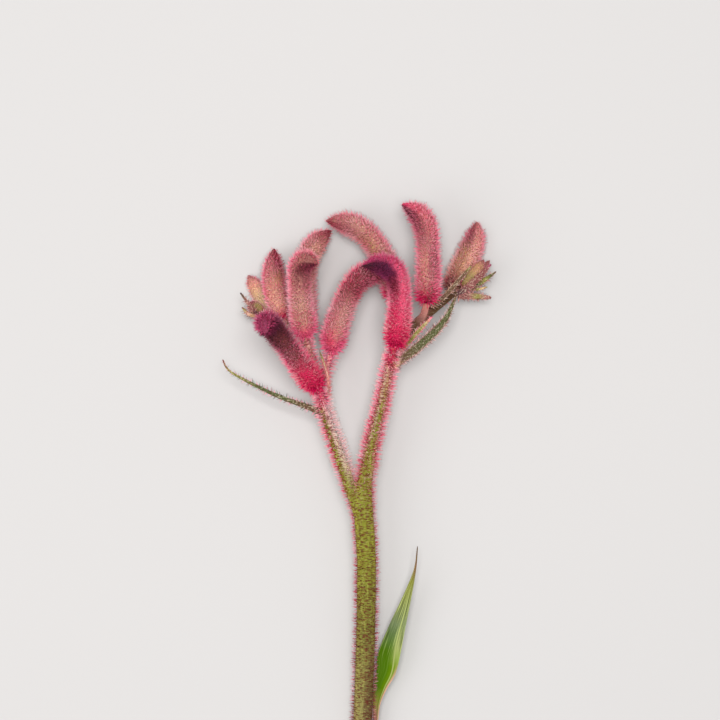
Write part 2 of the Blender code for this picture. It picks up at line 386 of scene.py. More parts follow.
# One hair, modelled once along +Z with its tip bent towards +X. A coat is many copies of it.
hairKinds = {
    "bristle": {"length": 2.3, "root": 0.13, "elbow": 0.5, "bend": 0.35, "thin": 0.8},
    "guard": {"length": 1.5, "root": 0.105, "elbow": 0.6, "bend": 0.36, "thin": 0.75},
    "under": {"length": 0.8, "root": 0.115, "elbow": 0, "bend": 0.22, "thin": 1},
    "spike": {"length": 2.4, "root": 0.11, "elbow": 0.6, "bend": 0.2, "thin": 0.8},
    "down": {"length": 1.7, "root": 0.14, "elbow": 0, "bend": 0.3, "thin": 1},
}


def modelHair(kind):
    spec = hairKinds[kind]
    deselectAll()
    bpy.ops.mesh.primitive_circle_add(vertices=3, radius=spec["root"] * mm, fill_type="NGON")
    hair = bpy.context.object
    hair.name = kind + "Hair"
    editAll()
    height = shift = 0
    for stop in [spec["elbow"], 1] if spec["elbow"] else [1]:
        rise = stop * spec["length"]
        lean = spec["bend"] * stop**2
        drawOut(((lean - shift) * mm, 0, (rise - height) * mm))
        resize((spec["thin"],) * 3, (lean * mm, 0, rise * mm))
        height, shift = rise, lean
    closeTip()
    bpy.ops.mesh.quads_convert_to_tris()
    leaveEdit()
    places = placesOf(hair)
    faces = np.array([list(face.vertices) for face in hair.data.polygons])
    bpy.data.objects.remove(hair)
    return places, faces


hairs = {kind: modelHair(kind) for kind in hairKinds}


def hairMap(places, faces):
    # Each face of a hair spans its whole column of the map, from side to side, at its own height.
    reach = places[:, 2] / places[:, 2].max()
    spots = []
    for face in faces:
        level = reach[face]
        if np.ptp(level) < 0.01:
            across, level = np.array([[0, 1, 0.5], [0, 0, 0.15]])
        else:
            low, high = level == level.min(), level == level.max()
            across = np.full(3, 0.5)
            across[low if low.sum() == 2 else high] = (0, 1)
        spots.append(np.stack([across, level], 1))
    return reach, np.array(spots)


# How a coat grows, with lengths in mm.
coatRules = {
    "columns": 256,  # of the hairs' map along a piece
    "bands": 12,  # of it around a piece, with as many again for the undercoat
    "edge": 0.05,  # left free around each cell of it
    "slices": 1.7,  # of a piece's triangles, for each mm of its box's diagonal
    "offset": 0.123,  # keeps a ring of corners off the seam between two slices
    "sunk": 0.1,  # how deep a root is
    "clear": 0.1,  # between the hairs and the table
    "sizes": (0.7, 1.2),
    "underReach": 0.45,  # how far the undercoat's colour goes from root to tip
}


def steadyTriangles(mesh, places):
    # sorted by place, as the order that a mesh is stored in changes from run to run
    rank = np.empty(len(places), int)
    rank[np.lexsort(np.round(places / mm, 3).T)] = np.arange(len(places))
    trios = []
    for face in mesh.polygons:
        ring = list(face.vertices)
        first = int(rank[ring].argmin())
        ring = ring[first:] + ring[:first]
        trios += [(ring[0], one, two) for one, two in zip(ring[1:], ring[2:])]
    trios = np.array(trios)
    return trios[np.lexsort(rank[trios].T)]


def coatGround(skin, carried):
    # the marks at a piece's corners, its triangles and how much of the coat each of them carries
    needed = {*carried, "along", "inner", "flank", "grain", "thick", "long"}
    marks = {key: getMark(skin, key) for key in needed}
    places = placesOf(skin)
    marks.update(place=places, normal=numbers(skin.data.vertices, "normal", 3))
    trios = steadyTriangles(skin.data, places)
    # in slices along the piece and around each slice, so that the hairs stand evenly
    slices = coatRules["slices"] * np.linalg.norm(np.ptp(places, 0)) / mm
    along = marks["along"][trios].mean(1)
    level = np.round(along * slices + coatRules["offset"])
    turn = np.arctan2(marks["flank"][trios].mean(1), marks["inner"][trios].mean(1))
    trios = trios[np.lexsort((along, np.round(turn, 3), level))]
    edges = places[trios[:, 1]] - places[trios[:, 0]], places[trios[:, 2]] - places[trios[:, 0]]
    area = np.linalg.norm(np.cross(*edges), axis=1) / 2 / mm**2
    return marks, trios, area * marks["thick"][trios].mean(1)


def spreadRoots(marks, trios, weight, count, draw):
    # the roots are spread evenly, and what comes back reads a mark at each of them
    evenly = (np.arange(count) + draw.random(count)) / count * weight.sum()
    picked = trios[np.minimum(np.searchsorted(np.cumsum(weight), evenly), len(trios) - 1)]
    first = np.sqrt(draw.random(count))
    second = draw.random(count)
    shares = np.stack([1 - first, first * (1 - second), first * second], 1)

    def readRoots(key):
        values = marks[key][picked]
        return (values * (shares[..., None] if values.ndim > 2 else shares)).sum(1)

    return readRoots


def plantHairs(readRoots, hair, size, lean, spread, count, draw):
    # each hair leans towards the grain and sways a little to either side
    up = unit(readRoots("normal"), 1e-9)
    ahead = readRoots("grain")
    ahead = unit(ahead - up * (up * ahead).sum(1, keepdims=True), 1e-9)
    beside = np.cross(up, ahead)
    sway = np.radians(draw.normal(0, spread, count))[:, None]
    ahead = ahead * np.cos(sway) + beside * np.sin(sway)
    tilt = np.radians(draw.normal(lean, spread / 2, count))[:, None]
    axis = up * np.cos(tilt) + ahead * np.sin(tilt)
    front = ahead * np.cos(tilt) - up * np.sin(tilt)
    beside = np.cross(axis, front)
    sizes = size * draw.uniform(*coatRules["sizes"], count)[:, None] * readRoots("long")[:, None]
    root = readRoots("place") - axis * coatRules["sunk"] * mm * np.minimum(sizes, 1)
    frames = np.stack([front, beside, axis], 1) * sizes[..., None]
    return root[:, None] + np.einsum("vk,nkc->nvc", hair, frames)


def cellSpots(readRoots, kept, spots, low):
    # every hair has a cell of the map, by its place along the piece and around it
    columns, bands, edge = (coatRules[key] for key in ("columns", "bands", "edge"))
    turn = np.arctan2(readRoots("flank"), readRoots("inner"))[kept] / math.tau + 0.5
    column = np.minimum((readRoots("along")[kept] * columns).astype(int), columns - 1)
    band = np.minimum((turn * bands).astype(int), bands - 1)
    row = band + bands * low
    inside = edge + (1 - 2 * edge) * spots
    spot = np.stack(np.broadcast_arrays(
        (column[:, None, None] + inside[None, ..., 0]) / columns,
        (row[:, None, None] + inside[None, ..., 1]) / (2 * bands),
    ), -1)
    return column, band, spot


def growCoat(skin, name, coats, seed, carried=("along", "inner", "flank", "top")):
    # coats holds kind of hair, hairs per square mm, size, lean and its spread in degrees
    draw = np.random.default_rng(seed)
    marks, trios, weight = coatGround(skin, carried)
    tints = draw.random((coatRules["columns"], coatRules["bands"]))
    out = {key: [] for key in ("places", "faces", "spots", "reach", "strand", *carried)}
    total = 0
    for kind, perArea, size, lean, spread in coats:
        hair, faces = hairs[kind]
        reach, spots = hairMap(hair, faces)
        low = kind == "under"
        count = int(weight.sum() * perArea)
        readRoots = spreadRoots(marks, trios, weight, count, draw)
        made = plantHairs(readRoots, hair, size, lean, spread, count, draw)
        kept = made[..., 2].min(1) > coatRules["clear"] * mm
        made = made[kept]
        column, band, spot = cellSpots(readRoots, kept, spots, low)
        order = (np.arange(len(made)) * len(hair))[:, None, None] + faces[None] + total
        total += len(made) * len(hair)
        out["places"].append(made.reshape(-1, 3))
        out["faces"].append(order.reshape(-1, 3))
        out["spots"].append(spot.reshape(-1, 2))
        out["reach"].append(np.tile(reach * (coatRules["underReach"] if low else 1), len(made)))
        out["strand"].append(np.repeat(tints[column, band], len(hair)))
        for key in carried:
            out[key].append(np.repeat(readRoots(key)[kept], len(hair), axis=0))
    out = {key: np.concatenate(value) for key, value in out.items()}
    coatMesh = bpy.data.meshes.new(name)
    coatMesh.from_pydata(out["places"], [], out["faces"])
    coat = addPiece(name, coatMesh)
    layer = coatMesh.uv_layers.new(name="OFBake")
    layer.data.foreach_set("uv", out["spots"].astype(np.float32).ravel())
    setMarks(coat, **{key: out[key] for key in ("reach", "strand", *carried)})
    print(name, len(out["faces"]), "faces")
    return coat


# Flowers and buds. A tube is modelled straight, from ring to ring, and bent along its middle line.
paw = {
    "sides": 24,
    "rings": 20,
    "lineSteps": 80,  # of the middle line
    "lobes": 6,
    "groove": 0.05,  # of the section, as a share of its radius
    "tipGroove": 0.55,  # how much deeper a groove gets at the tip, in mm
    "archEnd": 0.75,
    "hookSpread": 0.44,
    "point": 0.3,  # how far the last ring is drawn out to the tip
    "tip": 0.99,  # past this share of its length a tube has no grooves
    "openProfile": [
        (0, 0.42), (0.04, 0.78), (0.09, 0.98), (0.16, 1.05), (0.3, 1), (0.46, 0.91),
        (0.62, 0.93), (0.76, 1), (0.86, 0.88), (0.94, 0.56), (1, 0.14),
    ],
    "budProfile": [
        (0, 0.42), (0.05, 0.72), (0.14, 0.92), (0.3, 1.04), (0.5, 1.06), (0.66, 0.98),
        (0.8, 0.8), (0.91, 0.54), (1, 0.14),
    ],
}


# What each flower is given first. inner and outer are the paints of the skin on the hollow and on the
# round side, foot to tip. More can follow: coat for a bud's shorter hairs, wide for a flattened one,
# hood for the length of the hood's hairs and pale for how pale they get, dark for a dark hollow, and
# sweep for one that spreads over the hood.
growthNames = "foot heading lift length girth side arch hook knee inner outer hair".split()


def grown(*values, **more):
    return dict(zip(growthNames, values), **more)


paintPlaces = (0.02, 0.16, 0.36, 0.56, 0.76, 0.95)
flowers = {
    "flower_left_low": grown(
        (-16.2, 47, 19.8), 124, 16, 45, 4.05, 78, 14, 102, 0.8,
        "crimson cherry umber umber soot soot",
        "crimson rose umber umber wine plum",
        "crimson cherry rose plum plum orchid",
        dark=0.75, hood=0.75, pale=0.3,
    ),
    "flower_left_inner": grown(
        (-11, 61.2, 15.6), 81, 2, 44, 4.2, 180, 24, 62, 0.74,
        "rose fawn fawn umber umber wine",
        "cherry salmon tan umber umber soot",
        "rose rose pink cherry rose cherry",
    ),
    "flower_left_front": grown(
        (-20.6, 66.6, 18), 100, 8, 38, 4.1, 132, 14, 104, 0.8,
        "rose fawn fawn tan umber soot",
        "rose cream cream fawn fawn brown",
        "rose rose pink rose rose cherry",
        dark=0.7,
    ),
    "flower_left_back": grown(
        (-21.2, 69.4, 8.4), 92, -2, 41.4, 4, 180, 8, 46, 0.74,
        "rose cream straw cream cream umber",
        "rose cream cream fawn fawn wine",
        "rose rose pink pink pink cherry",
    ),
    "flower_right_low": grown(
        (13, 63.2, 20.4), 76, 12, 42, 4, 8, 26, 90, 0.76,
        "crimson cherry crimson wine damson night",
        "crimson cherry rose rose rose orchid",
        "crimson cherry rose rose orchid orchid",
        dark=0.8, sweep=0.75, pale=0.5,
    ),
    "flower_right_back": grown(
        (13.7, 80.2, 10), 95, -2, 45, 4.2, 0, 43, 38, 0.76,
        "cherry fawn khaki khaki tan wine",
        "cherry khaki khaki fawn fawn brown",
        "cherry rose pink rose pink cherry",
    ),
    "flower_right_upright": grown(
        (25.2, 79.6, 17.4), 84, -2, 41.5, 4.15, 0, 13, 62, 0.8,
        "crimson fawn cream tan umber soot",
        "umber tan brown tan salmon cherry",
        "crimson rose rose rose rose rose",
    ),
    "bud_right": grown(
        (34.9, 84.4, 4.3), 62, -4, 28.4, 3.4, 0, 4, 18, 0.75,
        "umber brown khaki khaki brown brown",
        "umber khaki cream cream cream tan",
        "brown salmon blush pink rose cherry",
        coat=0.95, wide=1.25,
    ),
    "bud_left_large": grown(
        (-29.3, 73.8, 8), 112, -3, 27, 3.4, 180, 20, 4, 0.6,
        "cherry cream fawn khaki umber wine",
        "cherry cream cream fawn tan umber",
        "cherry pink rose rose rose cherry",
        coat=0.85, wide=1.15,
    ),
    "bud_left_small": grown(
        (-35, 76.2, 2.9), 117, -6, 16.2, 1.9, 0, 0, 6, 0.6,
        "straw straw straw straw cream tan",
        "straw straw straw straw cream brown",
        "pink shell shell pink rose rose",
        coat=0.65, wide=1.6,
    ),
}


def growthWays(spec):
    heading, lift, side = (math.radians(spec[key]) for key in ("heading", "lift", "side"))
    along = Vector((math.cos(heading) * math.cos(lift), math.sin(heading) * math.cos(lift), math.sin(lift)))
    left = Vector((-math.sin(heading), math.cos(heading), 0))
    bend = left * math.cos(side) + along.cross(left) * math.sin(side)
    return along, bend, along.cross(bend)


def middleLine(spec):
    share = np.linspace(0, 1, paw["lineSteps"] + 1)
    hood = smoothStep((share - spec["knee"]) / paw["hookSpread"] + 0.5)
    turned = np.radians(spec["arch"] * np.minimum(share / paw["archEnd"], 1) + spec["hook"] * hood)
    ways = np.stack([np.cos(turned), np.sin(turned), 0 * turned], 1)
    steps = (ways[1:] + ways[:-1]) / 2 * np.diff(share)[:, None] * spec["length"]
    return share, np.vstack([np.zeros(3), np.cumsum(steps, 0)]), ways


def inGroove(corner):
    return math.cos(paw["lobes"] * math.atan2(corner.co.z, corner.co.y)) > 0.9


def straightTube(name, spec):
    tube = startSection(name, paw["sides"], spec["girth"])
    for corner in tube.data.vertices:
        corner.select = inGroove(corner)
    bpy.ops.object.mode_set(mode="EDIT")
    bpy.ops.mesh.select_mode(type="VERT")
    inward = 1 - 2 * paw["groove"]
    resize((1, inward, inward))
    bpy.ops.mesh.select_all(action="SELECT")
    places, sizes = zip(*paw["budProfile" if "coat" in spec else "openProfile"])
    size = sizes[0]
    resize((1, size * spec.get("wide", 1), size))
    before = 0
    for ring in range(1, paw["rings"] + 1):
        even = ring / paw["rings"]
        share = (even + (1 - math.cos(math.pi * even)) / 2) / 2  # rings lie closer at both ends
        wanted = float(np.interp(share, places, sizes))
        drawOut(((share - before) * spec["length"] * mm, 0, 0))
        resize((1, wanted / size, wanted / size))
        before, size = share, wanted
    drawOut((paw["point"] * mm, 0, 0))
    closeTip()
    leaveEdit()
    return tube


def growFlower(name, spec):
    tube = straightTube(name + "_skin", spec)
    grooves = tube.vertex_groups.new(name="grooves")
    for corner in tube.data.vertices:
        share = corner.co.x / mm / spec["length"]
        if inGroove(corner) and share < paw["tip"]:
            grooves.add([corner.index], min(share, 1) ** 2, "REPLACE")
    deeper = -paw["tipGroove"] * mm
    applyModifier(tube, "DISPLACE", strength=deeper, mid_level=0, vertex_group="grooves")
    applyModifier(tube, "SUBSURF", levels=1, render_levels=1)
    straight = placesOf(tube)
    along = np.clip(straight[:, 0] / mm / spec["length"], 0, 1)
    around = np.arctan2(straight[:, 2], straight[:, 1])
    around[np.hypot(straight[:, 1], straight[:, 2]) < 0.001 * mm] = math.pi / 2  # its ends' middles
    share, middles, ways = middleLine(spec)
    bendAlong(tube, middles)
    axes = Matrix(growthWays(spec)).transposed()
    tube.matrix_world = Matrix.Translation(Vector(spec["foot"]) * mm) @ axes.to_4x4()
    workOn(tube)
    bpy.ops.object.transform_apply()
    # hairs are longest at the foot and short on the hood
    foot = 0.15 * smoothStep(along / 0.25)
    hood = (1 - spec.get("hood", 0.6)) * smoothStep((along - 0.8) / 0.2)
    setMarks(
        tube, grain=readRun(along, share, ways) @ np.array(axes.transposed()), along=along,
        inner=np.cos(around), flank=np.sin(around), seam=(1 + np.cos(paw["lobes"] * around)) / 2,
        top=numbers(tube.data.vertices, "normal", 3)[:, 2],
        thick=1 - 0.35 * smoothStep((along - 0.85) / 0.15), long=1.15 - foot - hood,
    )
    return tube


skinLift = 0.75  # how bright the skin is under its wool


def hollowSide(tree, spec, along, inner):
    return plus(tree, inner, between(tree, along, 0.55, 0.85, 0, spec.get("sweep", 0)))


def pawColour(tree, spec, lift, wobble):
    along = plus(tree, readMark(tree, "along"), wobble)
    inner = plus(tree, readMark(tree, "inner"), times(tree, wobble, 3.0))
    inner = hollowSide(tree, spec, along, inner)
    sides = [colourRun(tree, along, paintPlaces, spec[key], lift) for key in ("outer", "inner")]
    return blend(tree, between(tree, inner, -0.35, 0.5), *sides)


def skinFinish(name, spec):
    finish, tree = newFinish(name + "_skin", 0.75)
    wobble = times(tree, plus(tree, noise(tree, 260), -0.5), 0.16)
    colour = pawColour(tree, spec, skinLift, wobble)
    grain = noise(tree, 2400, 3)
    colour = wash(tree, colour, "wine", grain, 0.5, 0.66, 0.5)
    colour = blend(tree, between(tree, grain, 0.48, 0.34, 0, 0.6), colour, (1.9, 1.8, 1.8, 1), "MULTIPLY")
    seam = times(tree, readMark(tree, "seam"), between(tree, readMark(tree, "along"), 0.6, 0.95))
    colour = wash(tree, colour, "umber", seam, 0.7, 1, 0.5)
    bumpFrom(tree, noise(tree, 2200, 3), 0.0002)
    return painted(finish, colour)


def woolFinish(name, spec):
    finish, tree = newFinish(name + "_wool", 0.65)
    strand, reach, above = readMarks(tree, "strand reach top")
    wobble = times(tree, plus(tree, strand, -0.5), 0.12)
    along = plus(tree, readMark(tree, "along"), wobble)
    hair = colourRun(tree, along, paintPlaces, spec["hair"], 1.15)
    inner = hollowSide(tree, spec, along, readMark(tree, "inner"))
    hollow = times(tree, between(tree, inner, -0.2, 0.6), between(tree, along, 0.4, 0.62))
    dark = times(tree, hollow, spec.get("dark", 0.4))
    # the foot and the dark hollow keep their deep colours
    fade = between(tree, along, 0.5, 0.75, 1, spec.get("pale", 1))
    fade = times(tree, fade, sums(tree, "SUBTRACT", 1, dark))
    upper = times(tree, between(tree, along, 0.04, 0.24), fade)
    hair = wash(tree, hair, "shell", strand, 0.5, 0.8, 0.4, upper, 1.1)
    hair = wash(tree, hair, "cherry", strand, 0.25, 0.15, 0.6, lift=0.9)
    hair = wash(tree, hair, "shell", reach, 0.4, 1, 0.3, upper, 1.1)
    # weathered tan on top, and paler around the sides as a painted highlight for the light the sides lack
    top = times(tree, between(tree, above, 0.25, 0.95, 0, 0.22), upper)
    hair = blend(tree, top, hair, pawColour(tree, spec, 1.3, wobble))
    # painted highlight: side-facing hairs turn pale, standing in for light on the flanks
    hair = wash(tree, hair, "shell", above, 0.45, -0.1, 0.3 * spec.get("pale", 1), upper, 1.1)
    skin = pawColour(tree, spec, skinLift, wobble)
    bright = between(tree, strand, 0.3, 0.9, 0, 0.8)
    bright = times(tree, bright, between(tree, along, 0.58, 0.75))
    dusky = blend(tree, bright, skin, (2.6, 2.3, 2.4, 1), "MULTIPLY")
    hair = blend(tree, dark, hair, dusky)
    colour = blend(tree, between(tree, reach, 0, 0.4), skin, hair)
    return painted(finish, colour)


def makeTube(name, spec, coats, seed, slot, *nodes):
    skin = growFlower(name, spec)
    wool = growCoat(skin, name + "_wool", coats, seed)
    finishPiece(skin, skinFinish(name, spec), slot, *nodes)
    finishPiece(wool, woolFinish(name, spec), slot)


def makeFlower(name, spec, seed):
    size = spec.get("coat", 1)
    coats = [
        ("bristle", 1.8 / size, 1.12 * size, 8, 18),
        ("guard", 3.3 / size, size, 20, 24),
        ("under", 5.5 / size, size, 42, 34),
    ]
    makeTube(name, spec, coats, seed, "bud_wool" if name.startswith("bud") else "flower_wool", name)


for seed, (name, spec) in enumerate(flowers.items()):
    makeFlower(name, spec, seed)
print("flowers and buds ready")

# Stem. It takes the model's shape, melted together at the forks, with a fresh cut at its lower end.
stem = {
    "main": [
        (-0.4, -118, 3.2, 3.6), (0.4, -96, 4.3, 3.6), (1.2, -75, 5.8, 3.6), (2.1, -50, 8, 3.7),
        (2.5, -20, 10.6, 3.7), (1.6, -4, 11.8, 3.8), (1.3, 4, 12.3, 3.5), (2, 12.5, 12.8, 2.8),
        (4.8, 27.5, 13.8, 2.4), (7.9, 39.5, 14.9, 2.1), (10.4, 51.3, 15.8, 1.9), (11.9, 57.5, 16, 1.9),
        (15.8, 64.8, 15.6, 1.9), (20.6, 71, 14.8, 1.9), (26.8, 76.2, 13.4, 1.8), (33, 81.2, 11.6, 1.6),
        (38.6, 85, 10.2, 1.1),
    ],
    "left": [
        (1, -5, 11.8, 2.4), (-1.2, 3, 12.2, 2.6), (-3.8, 9.5, 12.4, 2.4), (-8.4, 23.6, 13, 2.1),
        (-13.8, 39.5, 14.2, 1.9), (-15, 48, 14.2, 1.9), (-19.6, 57, 12.8, 1.8),
        (-25.6, 64.6, 11, 1.7), (-32, 71, 9, 1.5), (-37.6, 75, 7.6, 1),
    ],
    "stalkRadius": 1.45,
    # paints by y along each branch
    "mainPaints": (
        (-118, -75, -45, -15, 18, 38, 48, 55, 60, 86),
        "husk husk moss olive olive olive khaki tan bark bark",
    ),
    "leftPaints": ((-5, 18, 36, 44, 56, 76), "olive olive moss salmon salmon tan"),
    # paints of the painted highlight on the left branch's right side, by y
    "rosyPaints": ((14, 32, 44), "parchment shell pink"),
    # paints of each stalk, from the branch to the flower
    "stalks": {
        "flower_left_low": ((-14.2, 41, 14.6), "rose cherry"),
        "flower_left_inner": ((-14.8, 50, 14), "blush rose"),
        "flower_left_front": ((-16.6, 52, 13.8), "salmon blush"),
        "flower_left_back": ((-22, 60, 12), "salmon blush"),
        "flower_right_low": ((11.4, 55, 16), "cherry crimson"),
        "flower_right_back": ((18, 69, 15.2), "tan tan"),
        "flower_right_upright": ((22.4, 72.6, 14.4), "tan salmon"),
        "bud_right": ((31.6, 80, 12), "bark bark"),
        "bud_left_large": ((-27.6, 66.6, 10.4), "tan cream"),
        "bud_left_small": ((-33.4, 72, 8.4), "straw straw"),
    },
    "foot": -118,  # y of the cut end
    "reach": 204,  # from there to the end of the main branch
    # stretches of the hairs' map, as shares of it
    "mainShare": (0, 0.55),
    "leftShare": (0.55, 0.75),
    "stalkShare": 0.025,
    "voxel": 0.55,
    "weld": 0.01,
    "cutBack": 0.6,
    "rim": 0.35,
    "softEdge": 0.5,
    "pithDepth": 0.12,
}


def stalkRoute(name):
    spec = flowers[name]
    along = np.array(growthWays(spec)[0])
    start = np.array(stem["stalks"][name][0])
    end = np.array(spec["foot"]) - along * 0.3
    last = end - along * np.linalg.norm(end - start) * 0.45
    first = (start + last) / 2
    t = np.linspace(0, 1, 24)[:, None]
    route = start * (1 - t) ** 3 + first * 3 * t * (1 - t) ** 2 + last * 3 * t * t * (1 - t) + end * t**3
    return np.hstack([route, np.full((24, 1), stem["stalkRadius"])])


def paintRun(at, places, names):
    return readRun(at, places, np.array([daylight(paint)[:3] for paint in names.split()]))


def stemBranches():
    # each branch: its route, its paint at every point and its stretch of the hair map
    main, left = smoothRoute(stem["main"], 10), smoothRoute(stem["left"], 10)
    branches = [
        (main, paintRun(main[:, 1], *stem["mainPaints"]), stem["mainShare"]),
        (left, paintRun(left[:, 1], *stem["leftPaints"]), stem["leftShare"]),
    ]
    for k, (name, (_, stalkPaints)) in enumerate(stem["stalks"].items()):
        route = stalkRoute(name)
        colours = paintRun(np.linspace(0, 1, len(route)), (0.3, 1), stalkPaints)
        start = stem["leftShare"][1] + stem["stalkShare"] * k
        branches.append((route, colours, (start, start + stem["stalkShare"])))
    return branches


def measureStem(places):
    # for each corner: its place along the branches, the way they grow there, the way out and a paint
    best = np.full(len(places), np.inf)
    along, weights = np.zeros(len(places)), np.zeros(len(places))
    grain, across, paint = (np.zeros((len(places), 3)) for _ in range(3))
    for route, colours, (start, end) in stemBranches():
        gap = np.linalg.norm(places[:, None] - route[None, :, :3], axis=2) - route[None, :, 3]
        near = gap.argmin(1)
        gap = gap[np.arange(len(places)), near]
        ways = unit(np.gradient(route[:, :3], axis=0))
        closer = gap < best
        best[closer] = gap[closer]
        along[closer] = (start + (end - start) * near / len(route))[closer]
        grain[closer] = ways[near][closer]
        across[closer] = (places - route[near, :3])[closer]
        weight = np.exp(-np.maximum(gap, 0) / 0.5)
        paint += colours[near] * weight[:, None]
        weights += weight
    return along, grain, unit(across), paint / weights[:, None]


def tintStem(paint, along, side, high):
    def lay(colour, share):
        return paint + (np.asarray(colour) - paint) * share[:, None]

    # painted highlight: the left branch turns whitish pink on its right side
    rosy = smoothStep((side + 0.35) / 0.6) * smoothStep((high - 6) / 16)
    rosy *= (along >= stem["leftShare"][0]) * (along < stem["leftShare"][1])
    paint = lay(paintRun(high, *stem["rosyPaints"]), 0.9 * rosy)
    # the main branch has tan edges, and a pale streak left of its middle that is a painted highlight
    upper = smoothStep((high - 8) / 20) * (along < stem["mainShare"][1]) * (high < 60)
    edge = smoothStep((np.abs(side) - 0.4) / 0.35) * upper
    paint = lay(daylight("tan")[:3], 0.8 * edge)
    streak = smoothStep(1 - np.abs(side + 0.35) / 0.35) * upper * smoothStep((high - 22) / 12)
    paint = lay(daylight("parchment")[:3], 0.55 * streak)
    paint *= 1 + 0.6 * smoothStep((np.abs(side) - 0.45) / 0.4)[:, None]  # for less light on the sides
    return np.minimum(paint, 0.9), rosy


def markStem(piece):
    places = placesOf(piece) / mm
    along, grain, across, paint = measureStem(places)
    right = unit(np.cross(grain, (0, 0, 1)))
    side, high = (across * right).sum(1), places[:, 1]
    paint, rosy = tintStem(paint, along, side, high)
    # past the fork of the right paw the axis has few hairs
    bare = smoothStep((places[:, 0] - 14) / 6) * smoothStep((high - 56) / 6)
    thick = (0.7 + 0.5 * smoothStep((high + 5) / 40)) * (1 - 0.92 * bare)
    setMarks(
        piece, along=along, grain=grain, inner=side, flank=across[:, 2], paint=paint, rosy=rosy, bare=bare,
        height=np.clip((high - stem["foot"]) / stem["reach"], 0, 1),
        thick=np.where(high < stem["foot"] + 1, 0, thick),  # none on the cut
        long=(0.8 + 0.4 * smoothStep((high + 15) / 50)) * (1 - 0.45 * bare),
    )


def stemFinish():
    finish, tree = newFinish("stem_skin", 0.7)
    colour = blend(tree, 0.35, readMark(tree, "paint", "Color"), (0, 0, 0, 1))
    streaks = noise(tree, 1, 3, objectPlace(tree, (900, 60, 900)))
    hairy = between(tree, readMark(tree, "bare"), 0, 1, 1, 0.2)
    colour = wash(tree, colour, "lime", streaks, 0.5, 0.7, 0.25, hairy)
    colour = wash(tree, colour, "bark", streaks, 0.45, 0.3, 0.25)
    # painted shade: the lower stem is darker on the right, and a darker line near its middle is a groove's
    # painted shade
    side, height = readMarks(tree, "inner height")
    low = between(tree, height, 0.42, 0.2)
    colour = wash(tree, colour, "bark", side, -0.15, 0.45, 0.8, low, 0.9)
    colour = wash(tree, colour, "bark", away(tree, side, 0.1), 0.14, 0, 0.5, low, 0.6)
    # dark ticks and pale glints across the stem
    speck = noise(tree, 1, 3, objectPlace(tree, (620, 2100, 620)))
    colour = wash(tree, colour, "rust", speck, 0.53, 0.57, 0.8, hairy)
    glints = times(tree, between(tree, speck, 0.42, 0.36, 0, 0.45), hairy)
    glint = blend(tree, between(tree, height, 0.55, 0.75), daylight("husk", 1.1), daylight("parchment"))
    colour = blend(tree, glints, colour, glint)
    colour = wash(tree, colour, "straw", readMark(tree, "pith"), 0.2, 0.7)
    bumpFrom(tree, streaks, 0.0003)
    return painted(finish, colour)


def stemHairFinish():
    finish, tree = newFinish("stem_hairs", 0.65)
    strand, height, side, reach = readMarks(tree, "strand height inner reach")
    dark = colourRun(tree, height, (0.1, 0.5, 0.65, 0.8), "wine crimson cherry rose")
    share = plus(tree, strand, times(tree, side, 0.12))
    colour = wash(tree, dark, "pink", share, 0.5, 0.75, lift=1.2)
    colour = wash(tree, colour, "shell", reach, 0.3, 1, 0.8, between(tree, height, 0.3, 0.65, 0.4, 1))
    # on top of the lower stem the hairs are short dark ticks
    above = between(tree, readMark(tree, "flank"), 0.2, 0.6)
    colour = wash(tree, colour, "rust", height, 0.7, 0.5, 0.85, above)
    # painted highlight: whitish hairs on the left branch's right side
    colour = blend(tree, times(tree, readMark(tree, "rosy"), 0.6), colour, daylight("shell", 1.2))
    root = between(tree, reach, 0.4, 0, 0, 0.6)
    colour = blend(tree, root, colour, readMark(tree, "paint", "Color"))
    return painted(finish, colour)


def makeStem():
    piece = addPiece("stem_skin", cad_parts["stem"].data.copy())
    workOn(piece)
    editAll()
    bpy.ops.mesh.remove_doubles(threshold=stem["weld"] * mm)
    leaveEdit()
    applyModifier(piece, "REMESH", mode="VOXEL", voxel_size=stem["voxel"] * mm)
    applyModifier(piece, "SMOOTH", factor=0.5, iterations=6)
    start, after = Vector(stem["main"][0][:3]), Vector(stem["main"][1][:3])
    way = (after - start).normalized()
    editAll()
    cut = (start + way * stem["cutBack"]) * mm
    bpy.ops.mesh.bisect(plane_co=cut, plane_no=way, use_fill=True, clear_inner=True)
    leaveEdit()
    for face in piece.data.polygons:
        face.select = face.normal.dot(way) < -0.9 and (face.center - cut).dot(way) < 0.05 * mm
    bpy.ops.object.mode_set(mode="EDIT")
    bpy.ops.mesh.select_mode(type="FACE")
    bpy.ops.mesh.inset(thickness=stem["rim"] * mm)
    bpy.ops.mesh.inset(thickness=stem["softEdge"] * mm)
    bpy.ops.transform.translate(value=way * stem["pithDepth"] * mm)
    leaveEdit()
    picked = numbers(piece.data.vertices, "select", 1, bool)
    markStem(piece)
    setMarks(piece, pith=picked)
    coats = [("spike", 1.8, 1.05, 4, 20)]
    carried = ("along", "inner", "flank", "height", "paint", "rosy")
    hairCoat = growCoat(piece, "stem_hairs", coats, 40, carried)
    finishPiece(piece, stemFinish(), "stem_skin", "stem")
    finishPiece(hairCoat, stemHairFinish(), "stem_skin")


makeStem()
print("stem ready")

